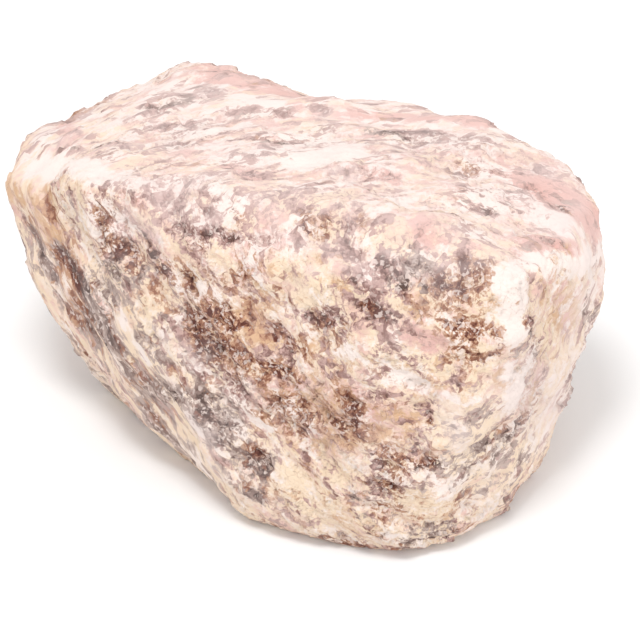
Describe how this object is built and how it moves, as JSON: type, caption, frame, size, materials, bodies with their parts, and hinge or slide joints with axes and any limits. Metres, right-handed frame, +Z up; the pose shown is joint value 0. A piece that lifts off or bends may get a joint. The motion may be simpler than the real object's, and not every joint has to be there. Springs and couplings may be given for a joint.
{
  "type": "raw aventurine",
  "caption": "Hand-sized raw chunk of pink aventurine quartzite with worn break faces, a rounded brow and a tapered foot, resting on a flat break.",
  "frame": {"origin": "on the surface the stone rests on, under the middle of its length and depth", "axes": "+X along its greatest length, -Y towards the front face where it split along its layers, +Z up through its least thickness"},
  "size_m": [0.0742, 0.0646, 0.0376],
  "materials": {
    "pink_aventurine": "matt, granular break, mottled cream, pink, mauve and brown"
  },
  "bodies": {
    "root": {"aventurine": "pink_aventurine"}
  },
  "joints": []
}
